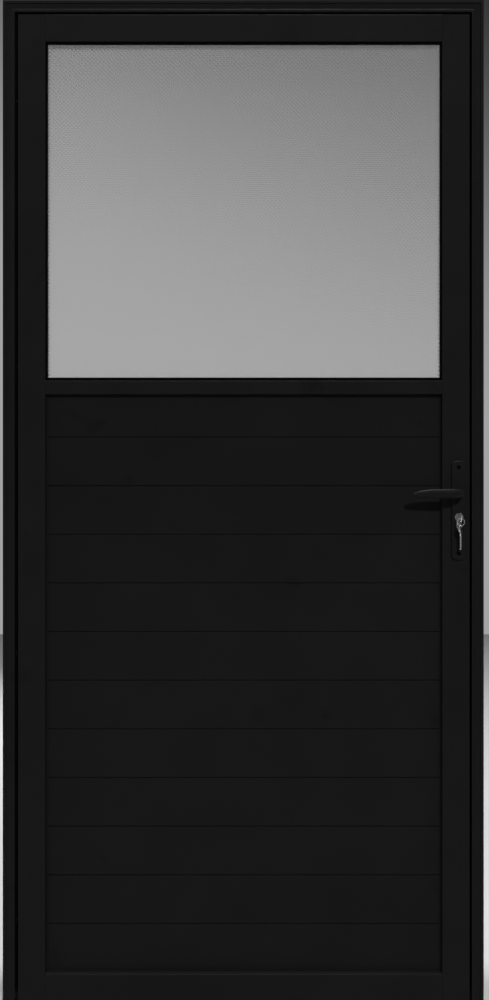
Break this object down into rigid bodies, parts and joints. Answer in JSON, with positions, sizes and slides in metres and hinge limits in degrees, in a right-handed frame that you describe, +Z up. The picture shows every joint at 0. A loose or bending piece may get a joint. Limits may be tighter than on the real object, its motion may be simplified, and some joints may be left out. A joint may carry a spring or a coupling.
{
  "type": "glazed aluminium door",
  "caption": "Hinged black aluminium door in its frame, obscure glass above, tongue-and-groove slats below, lever handle and key lock.",
  "frame": {"origin": "under the middle of the threshold, on the floor, halfway through the frame's depth", "axes": "+X along the width from the hinges to the lock, +Y from the outside into the room, +Z up"},
  "size_m": [1, 0.153, 2.1],
  "materials": {
    "black_coat": "satin",
    "handle_coat": "satin",
    "hinge_coat": "satin",
    "rubber": "matte",
    "steel": "satin",
    "nickel": "polished",
    "satin_brass": "satin",
    "mill_aluminium": "mill",
    "obscure_glass": "patterned"
  },
  "bodies": {
    "frame": {"hinge_jamb": "black_coat", "lock_jamb": "black_coat", "frame_head": "black_coat", "threshold": "black_coat", "corner_cleats": "mill_aluminium", "closing_gaskets": "rubber", "strike_plate": "hinge_coat", "frame_screws": "steel", "hinge_pins": "steel", "hinge_bottom_frame_half": "hinge_coat", "hinge_middle_frame_half": "hinge_coat", "hinge_top_frame_half": "hinge_coat"},
    "leaf": {"hinge_stile": "black_coat", "lock_stile": "black_coat", "top_rail": "black_coat", "mid_rail": "black_coat", "bottom_rail": "black_coat", "glass_bead_top": "black_coat", "glass_bead_bottom": "black_coat", "glass_bead_hinge_side": "black_coat", "glass_bead_lock_side": "black_coat", "panel_channel_hinge_side": "black_coat", "panel_channel_lock_side": "black_coat", "cover_strip_hinge_side": "black_coat", "cover_strip_lock_side": "black_coat", "cover_strip_head": "black_coat", "slat_01": "black_coat", "slat_02": "black_coat", "slat_03": "black_coat", "slat_04": "black_coat", "slat_05": "black_coat", "slat_06": "black_coat", "slat_07": "black_coat", "slat_08": "black_coat", "slat_09": "black_coat", "slat_10": "black_coat", "slat_11": "black_coat", "slat_12": "black_coat", "outer_plate": "handle_coat", "inner_plate": "handle_coat", "hinge_bottom_leaf_half": "hinge_coat", "hinge_middle_leaf_half": "hinge_coat", "hinge_top_leaf_half": "hinge_coat", "glazing_gaskets": "rubber", "bottom_seal": "rubber", "leaf_screws": "steel", "lock_case": "steel", "lock_face_plate": "steel", "cylinder_body": "satin_brass", "joint_blocks": "mill_aluminium", "glass_pane": "obscure_glass"},
    "lever": {"outer_lever": "handle_coat", "inner_lever": "handle_coat", "spindle": "steel"},
    "latch": {"latch_bolt": "steel"},
    "bolt": {"dead_bolt": "steel"},
    "keys": {"cylinder_plug": "satin_brass", "key": "nickel", "key_ring": "nickel", "spare_key": "nickel"}
  },
  "joints": [
    {"name": "door_swing", "type": "hinge", "parent": "frame", "child": "leaf", "pos_m": [-0.4895, 0.028, 1.05], "axis": [0, 0, 1], "range_deg": [0, 110]},
    {"name": "lever_turn", "type": "hinge", "parent": "leaf", "child": "lever", "pos_m": [0.4469, 0.0015, 1.0735], "axis": [0, -1, 0], "range_deg": [0, 40], "stiffness_Nm_per_rad": 0.9, "springref_deg": -28.65},
    {"name": "latch_slide", "type": "slide", "parent": "leaf", "child": "latch", "axis": [-1, 0, 0], "range_m": [0, 0.011]},
    {"name": "key_turn", "type": "hinge", "parent": "leaf", "child": "keys", "pos_m": [0.4469, 0.0015, 1.0245], "axis": [0, 1, 0], "range_deg": [0, 120]},
    {"name": "bolt_slide", "type": "slide", "parent": "leaf", "child": "bolt", "axis": [1, 0, 0], "range_m": [0, 0.014]}
  ],
  "couplings": [
    {"joint": "latch_slide", "follows": "lever_turn", "m_per_rad": 0.01575},
    {"joint": "bolt_slide", "follows": "key_turn", "m_per_rad": 0.00668}
  ]
}
